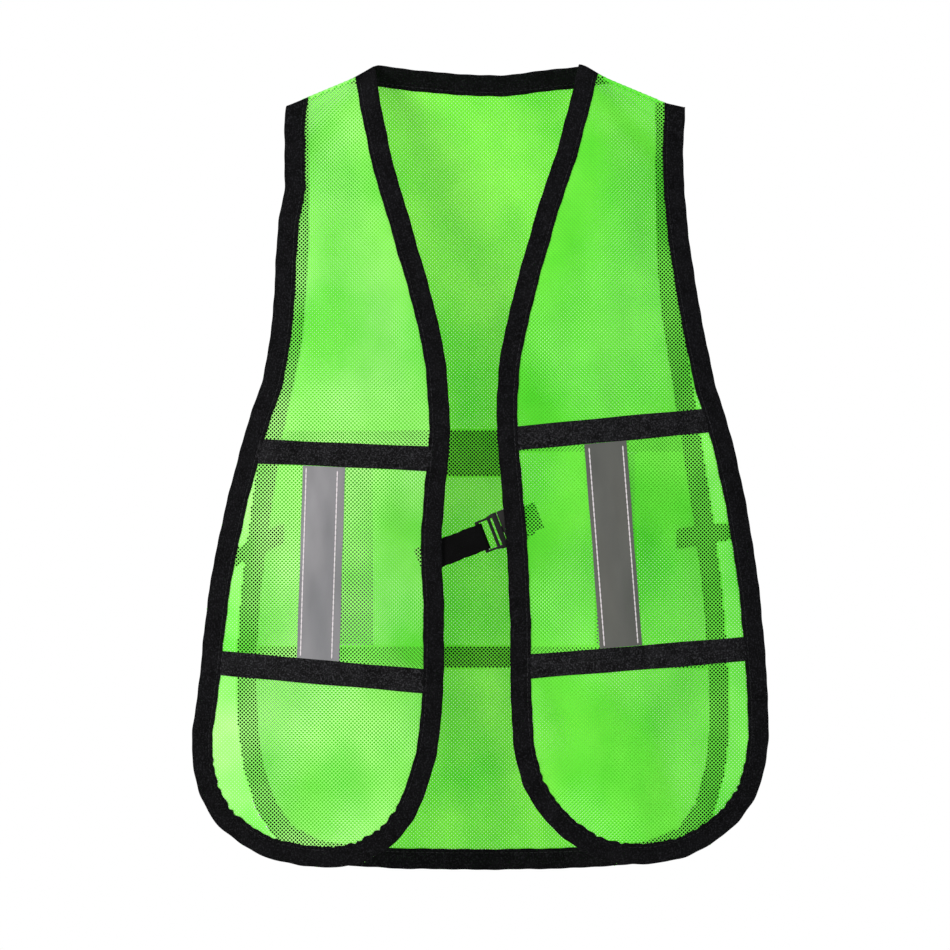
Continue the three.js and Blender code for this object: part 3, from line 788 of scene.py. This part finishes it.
def stitches(name, runs, side, kind):
    s = stitching[kind]
    steps = thread["steps"]                             # rows for each stitch
    whole = bmesh.new()
    for path, lift in runs:
        even = evenPath(path, s["pitch"] / steps * mm, 0)
        across = inward(even, side)
        rows = (len(even) - 1) // steps * steps

        def place(along, around):
            i = np.round(along * rows).astype(int)
            arch = np.sin((i % steps) / steps * math.pi) ** 0.5
            angle = around * 2 * math.pi
            swell = thread["thinnest"] + thread["swell"] * arch
            off = s["radius"] * swell * np.cos(angle)
            rise = s["radius"] * s["flat"] * swell * np.sin(angle)
            rise = lift + math.copysign(1, lift) * (rise - s["dip"] * (1 - arch))
            where = even[i] + across[i] * off[:, None] * mm
            return worn(side, where[:, 0], rise * mm, where[:, 1])

        lengths = (rows * s["pitch"] / steps * mm, thread["girth"] * mm)
        single = stripMesh(rows, thread["columns"], lengths, place)
        mesh = bpy.data.meshes.new(name)
        single.to_mesh(mesh)
        single.free()
        whole.from_mesh(mesh)
        bpy.data.meshes.remove(mesh)
    return finishPiece(name, whole, s["material"], None)


# fronts and back

fronts = {
    "left": {"node": "left_front", "body": "left_front", "silver": "silverBeadLeftShaded",
             "paleRows": (-10.3, 10.0)},
    "right": {"node": "right_front", "body": "right_front", "silver": "silverBeadRightLit",
              "paleRows": (10.6, -8.2)},
}
patchRise = 0.5                                      # the patch meets the tape's edge (mm)
seamLift = 0.84                                      # a binding's stitches over the cloth (mm)
turnFrom, turnTo = (0, 0, -0.004), (0, 0, -0.190)    # two offsets down along z (metres)


# four corners, in x and z, of a piece that lies straight across the vest
def straightOutline(node):
    spots = np.array([(v.co.x, v.co.z) for v in frame["nodes"][node].data.vertices])
    ends = [spots[abs(spots[:, 0] - x) < 0.5 * mm] for x in (spots[:, 0].min(), spots[:, 0].max())]
    return np.array([ends[0][ends[0][:, 1].argmin()], ends[1][ends[1][:, 1].argmin()],
                     ends[1][ends[1][:, 1].argmax()], ends[0][ends[0][:, 1].argmax()]])


def buildFront(key, s):
    node, body = s["node"], s["body"]
    border = faceBorder(f"{node}_mesh", front)
    behind = [faceBorder("back_mesh", back), straightOutline(f"{key}_side_strap")]
    cloth = net(f"{key}FrontNet", border, front, "frontNet", f"{key}FrontNet", behind)
    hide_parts(f"{node}_mesh")
    edge = boundEdges(f"{node}_mesh", front)[0]
    names = [f"{node}_{part}_binding" for part in ("edge", "hem", "side")]
    bound, seam = bindingPiece(f"{key}FrontBinding", edge, front, 3 + len(key), names)
    pieces = [bound]
    black = [(seam, seamLift), (seam, -seamLift)]
    for level in ("upper", "lower"):
        made, row, _ = tapePiece(f"{key}Front{level.title()}Tape", f"{node}_{level}_tape",
                                 front, "cross")
        pieces.append(made)
        black.append(row(0.0))
    strip, row, _ = tapePiece(f"{key}FrontReflectiveStrip", f"{node}_reflective_strip",
                              front, "reflective", s["silver"])
    pieces.append(strip)
    pale = [row(offset) for offset in s["paleRows"]]
    pieces.append(stitches(f"{key}FrontTapeStitches", black, front, "black"))
    pieces.append(stitches(f"{key}FrontStripStitches", pale, front, "pale"))
    for piece in [cloth, *pieces]:
        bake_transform(piece)
        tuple(turnFrom)
        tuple(turnTo)
    print(f"stage: {key} front, {len(cloth.data.polygons)} faces of net")


def buildBack():
    border = faceBorder("back_mesh", back)
    middleOf = lambda node: sum(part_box(node)[i].z for i in (0, 1)) / 2
    upper, lower = middleOf("back_upper_tape"), middleOf("back_lower_tape")
    levels = {"Upper": (upper, 1), "Middle": (lower, upper), "Lower": (-1, lower)}
    sewnOn = ["back_upper_tape", "back_lower_tape", "back_centre_patch",
              "left_back_reflective_strip", "right_back_reflective_strip"]
    behind = [faceBorder(node, back) for node in sewnOn]
    behind.append(straightOutline("back_centre_patch") + (0, patchRise * mm))
    nets = {name: net(f"back{name}Net", border, back, "backNet", "backNet", behind, levels[name])
            for name in levels}
    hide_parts("back_mesh")
    hem, neck = boundEdges("back_mesh", back)[:2]
    names = ["left_back_side_binding", "back_hem_binding", "right_back_side_binding"]
    bound, seam = bindingPiece("backBinding", hem, back, 11, names)
    neckBound, neckSeam = bindingPiece("backNeckBinding", neck, back, 12, ["back_neck_binding"])
    pieces = [bound, neckBound]
    black = [(path, lift) for path in (seam, neckSeam) for lift in (seamLift, -seamLift)]
    for level in ("upper", "lower"):
        made, row, _ = tapePiece(f"back{level.title()}Tape", f"back_{level}_tape", back, "cross")
        pieces.append(made)
        black.append(row(0.0))
    patch, row, halfWidth = tapePiece("backPatch", "back_centre_patch", back, "patch",
                                      rise=patchRise)
    pieces.append(patch)
    margin = tapes["patch"]["rowInset"]
    black += [row(halfWidth - margin), row(margin - halfWidth)]
    pale = []
    for key, settings in fronts.items():
        strip, row, _ = tapePiece(f"{key}BackReflectiveStrip", f"{key}_back_reflective_strip",
                                  back, "reflective", "silverBeadBack")
        pieces.append(strip)
        pale += [row(offset) for offset in settings["paleRows"]]
    pieces.append(stitches("backTapeStitches", black, back, "black"))
    pieces.append(stitches("backStripStitches", pale, back, "pale"))
    for piece in [*nets.values(), *pieces]:
        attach(piece, "back")
    for name, cloth in nets.items():
        low, high = border.min(0), border.max(0)
        low[1], high[1] = max(low[1], levels[name][0]), min(high[1], levels[name][1])
        print(f"stage: back {name.lower()}, {len(cloth.data.polygons)} faces of net")


for frontKey, frontSettings in fronts.items():
    buildFront(frontKey, frontSettings)
buildBack()


# shoulder seams: the cloth's rolled edges, sewn together

seamSizes = {"inner": 0.0745, "outer": 0.1075, "radius": 1.15, "step": 1.2, "below": 0.9,
             "flat": 1.15, "swell": 0.10, "swellTurn": 2.4, "columns": 12,
             "lengths": (0.035, 0.0072)}


def shoulderSeam(name, sign):
    s = seamSizes
    rows = round((s["outer"] - s["inner"]) / (s["step"] * mm))

    def place(along, around):
        x = s["inner"] + (s["outer"] - s["inner"]) * along
        angle = around * 2 * math.pi
        radius = s["radius"] * (1 + s["swell"] * np.sin(along * rows * s["swellTurn"])) * mm
        z = shoulderHeight(x) - s["below"] * mm + radius * np.sin(angle)
        return np.column_stack([sign * x, radius * s["flat"] * np.cos(angle), z])

    made = closedStrip(name, rows, s["columns"], s["lengths"], place, "greenSeam", "mesh")
    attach(made, "back")


shoulderSeam("leftShoulderSeam", 1)
shoulderSeam("rightShoulderSeam", -1)
print("stage: shoulder seams")


# webbing, elastic and buckle, cut finer and softened from their CAD shapes

joints = {j["name"]: j for j in frame["joints"]}
strapAlong = -Vector(joints["buckle_release"]["axis"])
strapAcross = -Vector(joints["strap_tilt"]["axis"])
strapAt = Vector(joints["strap_tilt"]["pos_m"])

softPieces = {
    "closureWebbing": {"node": "closure_strap", "body": "strap", "material": "blackWebbing",
                       "slot": "webbing", "cut": (1.2, 1.2), "wave": 0.30, "tuck": 3.2},
    "closureWebbingTail": {"node": "closure_strap_tail", "body": "right_front",
                           "material": "blackWebbing", "slot": "webbing", "cut": (1.2, 1.2),
                           "wave": 0.2},
    "socketWebbing": {"node": "socket_strap", "body": "left_front", "material": "blackWebbing",
                      "slot": "webbing", "cut": (1.0, 1.2), "wave": 0.1},
}
webbingShape = {"tuckOver": 16, "edgePower": 3, "edgeWaves": (1.7, 0.73), "edgeIn": 0.6,
                "faceWave": 0.12, "faceWaves": (2.3, 3.1), "faceWaveAt": 0.3}
soften = 0.25               # how far each point moves to its neighbours' middle
buckleParts = {
    "buckleClip": {"node": "buckle_clip", "body": "clip", "bevel": 0.35},
    "buckleUpperProng": {"node": "clip_upper_prong", "body": "upper_prong", "bevel": 0.3},
    "buckleLowerProng": {"node": "clip_lower_prong", "body": "lower_prong", "bevel": 0.3},
    "buckleSocket": {"node": "buckle_socket", "body": "socket", "bevel": 0.5},
}
bevelFrom = 35              # edges sharper than this are bevelled (degrees)
elasticStraps = {
    "leftSideElastic": {"node": "left_side_strap", "body": "left_front", "sign": 1},
    "rightSideElastic": {"node": "right_side_strap", "body": "right_front", "sign": -1},
}
elasticShape = {"cut": (1.5, 1.2, 2.5), "faceWave": 0.15, "faceLength": 1.1,
                "edgeWave": 0.20, "edgeLengths": (1.4, 3)}


def cleanCopy(node):
    bm = bmesh.new()
    bm.from_mesh(frame["nodes"][node].data)
    bmesh.ops.remove_doubles(bm, verts=bm.verts, dist=0.01 * mm)
    bmesh.ops.dissolve_limit(bm, angle_limit=math.radians(1), verts=bm.verts, edges=bm.edges)
    return bm


def cutFiner(bm, at, direction, step):
    reach = [(v.co - at).dot(direction) for v in bm.verts]
    for distance in np.arange(math.ceil(min(reach) / step), max(reach) / step) * step:
        geometry = [*bm.verts, *bm.edges, *bm.faces]
        bmesh.ops.bisect_plane(bm, geom=geometry, dist=1e-7, plane_co=at + direction * distance,
                               plane_no=direction)


def addLengths(bm, at, along, across):
    layer = bm.loops.layers.uv.new("lengths")
    for face in bm.faces:
        for loop in face.loops:
            spot = loop.vert.co - at
            loop[layer].uv = (spot.dot(along), spot.dot(across))


def softPiece(name, s):
    bm = cleanCopy(s["node"])
    cutFiner(bm, strapAt, strapAlong, s["cut"][0] * mm)
    cutFiner(bm, strapAt, strapAcross, s["cut"][1] * mm)
    shape = webbingShape
    half = max(abs((v.co - strapAt).dot(strapAcross)) for v in bm.verts)
    first = min((v.co - strapAt).dot(strapAlong) for v in bm.verts)
    for vert in bm.verts:
        u, v = (vert.co - strapAt).dot(strapAlong), (vert.co - strapAt).dot(strapAcross)
        atEnd = max(0, 1 - (u - first) / (shape["tuckOver"] * mm)) ** 0.5
        vert.co -= strapAlong * s.get("tuck", 0) * mm * atEnd
        share = (abs(v) / half) ** shape["edgePower"] * math.copysign(1, v)
        slow, fast = shape["edgeWaves"]
        edgeWave = math.sin(u / mm / slow) * 0.5 + math.sin(u / mm / fast + v / mm) * 0.5
        vert.co += strapAcross * (share * s["wave"] * (edgeWave - shape["edgeIn"]) * mm)
        long, wide = shape["faceWaves"]
        faceWave = shape["faceWave"] * mm * math.sin(u / mm / long + v / mm / wide)
        vert.co.y += faceWave * s["wave"] / shape["faceWaveAt"]
    bmesh.ops.smooth_vert(bm, verts=bm.verts, factor=soften, use_axis_x=True, use_axis_y=True,
                          use_axis_z=True)
    addLengths(bm, strapAt, strapAlong, strapAcross)
    made = finishPiece(name, bm, s["material"], s["slot"], sharp=50)
    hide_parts(s["node"])
    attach(made, s["body"])


def bucklePiece(name, s):
    bm = cleanCopy(s["node"])
    turned = math.radians(bevelFrom)
    sharp = [e for e in bm.edges if e.is_manifold and e.calc_face_angle(0) > turned]
    bmesh.ops.bevel(bm, geom=sharp, offset=s["bevel"] * mm, offset_type="OFFSET", segments=2,
                    profile=0.5, affect="EDGES", clamp_overlap=True, material=-1)
    made = finishPiece(name, bm, "plastic", "buckle", sharp=40)
    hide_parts(s["node"])
    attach(made, s["body"])


def elasticStrap(name, s):
    low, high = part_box(s["node"])
    bm = cleanCopy(s["node"])
    at = (low + high) / 2
    shape = elasticShape
    for direction, step in zip(((0, 1, 0), (0, 0, 1), (1, 0, 0)), shape["cut"]):
        cutFiner(bm, at, Vector(direction), step * mm)
    long, wide = shape["edgeLengths"]
    for vert in bm.verts:
        vert.co.x += shape["faceWave"] * mm * math.sin(vert.co.y / mm / shape["faceLength"])
        edgeTurn = vert.co.y / mm / long + vert.co.x / mm / wide
        vert.co.z += shape["edgeWave"] * mm * math.sin(edgeTurn)
    bmesh.ops.smooth_vert(bm, verts=bm.verts, factor=soften, use_axis_x=True, use_axis_y=True,
                          use_axis_z=True)
    addLengths(bm, at, Vector((0, 1, 0)), Vector((0, 0, 1)))
    made = finishPiece(name, bm, "blackElastic", "elastic", sharp=50)
    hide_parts(s["node"])
    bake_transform(made)


for pieceName, pieceSettings in softPieces.items():
    softPiece(pieceName, pieceSettings)
for pieceName, pieceSettings in buckleParts.items():
    bucklePiece(pieceName, pieceSettings)
for pieceName, pieceSettings in elasticStraps.items():
    elasticStrap(pieceName, pieceSettings)
print("stage: webbing, buckle and elastic")
